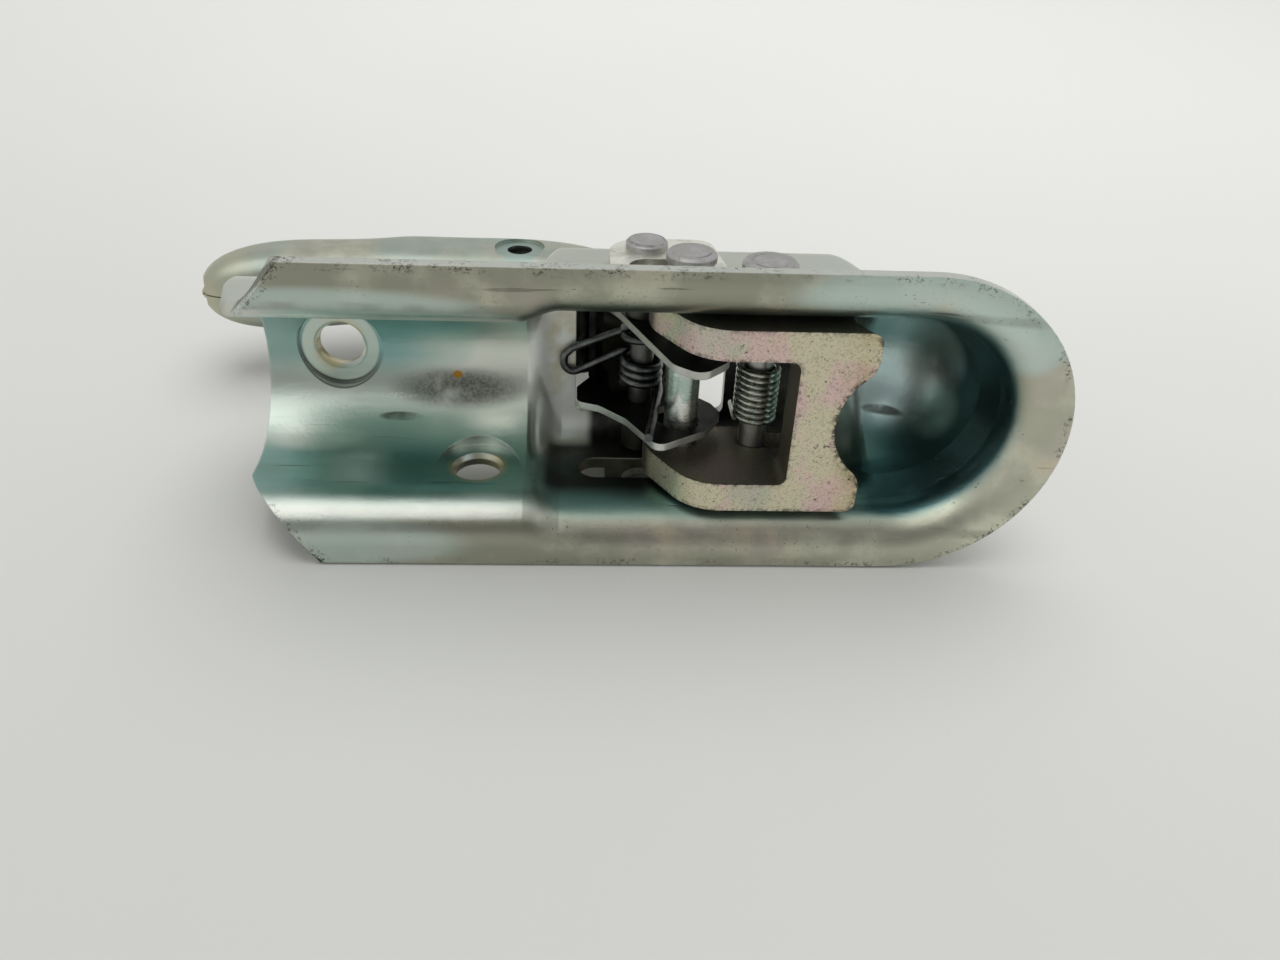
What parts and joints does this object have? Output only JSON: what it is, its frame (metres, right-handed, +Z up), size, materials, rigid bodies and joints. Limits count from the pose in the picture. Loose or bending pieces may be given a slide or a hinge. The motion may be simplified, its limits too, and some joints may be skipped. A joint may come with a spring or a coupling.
{
  "type": "trailer coupling head",
  "caption": "Pressed-steel trailer coupling head with a ball socket, a sliding jaw that closes under the ball, a hinged hand lever that draws it back, and a half-round seat for a drawbar tube.",
  "frame": {"origin": "centre of the tow ball that the socket takes", "axes": "+X along the drawbar to the nose, +Y to the left, +Z up with the coupling level on its ball"},
  "size_m": [0.2492, 0.087, 0.1084],
  "materials": {
    "zinc_body": "zinc-plated pressed sheet",
    "zinc_plate": "zinc-plated",
    "zinc_lever": "zinc-plated stamped sheet",
    "plated_jaw": "yellowish plating, greased",
    "rivet_steel": "upset steel",
    "pin_steel": "bright turned steel",
    "black_spring": "black oiled spring wire",
    "bright_spring": "bright spring wire"
  },
  "bodies": {
    "coupling": {"coupling_body": "zinc_body", "guide_plate_left": "zinc_plate", "guide_plate_right": "zinc_plate", "handle_pivot_rivet": "rivet_steel", "pivot_spacer_left": "zinc_plate", "pivot_spacer_right": "zinc_plate", "guide_rivet": "rivet_steel", "handle_spring": "black_spring", "jaw_spring": "bright_spring"},
    "handle": {"handle_shell_left": "zinc_lever", "handle_shell_right": "zinc_lever"},
    "jaw": {"ball_jaw": "plated_jaw", "jaw_pin": "pin_steel", "jaw_pin_collar_left": "pin_steel", "jaw_pin_collar_right": "pin_steel"}
  },
  "joints": [
    {"name": "handle_lift", "type": "hinge", "parent": "coupling", "child": "handle", "pos_m": [-0.0678, 0, 0.02], "axis": [0, 1, 0], "range_deg": [0, 40], "stiffness_Nm_per_rad": 2, "springref_deg": -45.84, "deforming": ["handle_spring"]},
    {"name": "jaw_slide", "type": "slide", "parent": "coupling", "child": "jaw", "axis": [-1, 0, 0], "range_m": [0, 0.011], "deforming": ["jaw_spring"]}
  ],
  "couplings": [
    {"joint": "jaw_slide", "follows": "handle_lift", "m_per_rad": 0.01575}
  ]
}
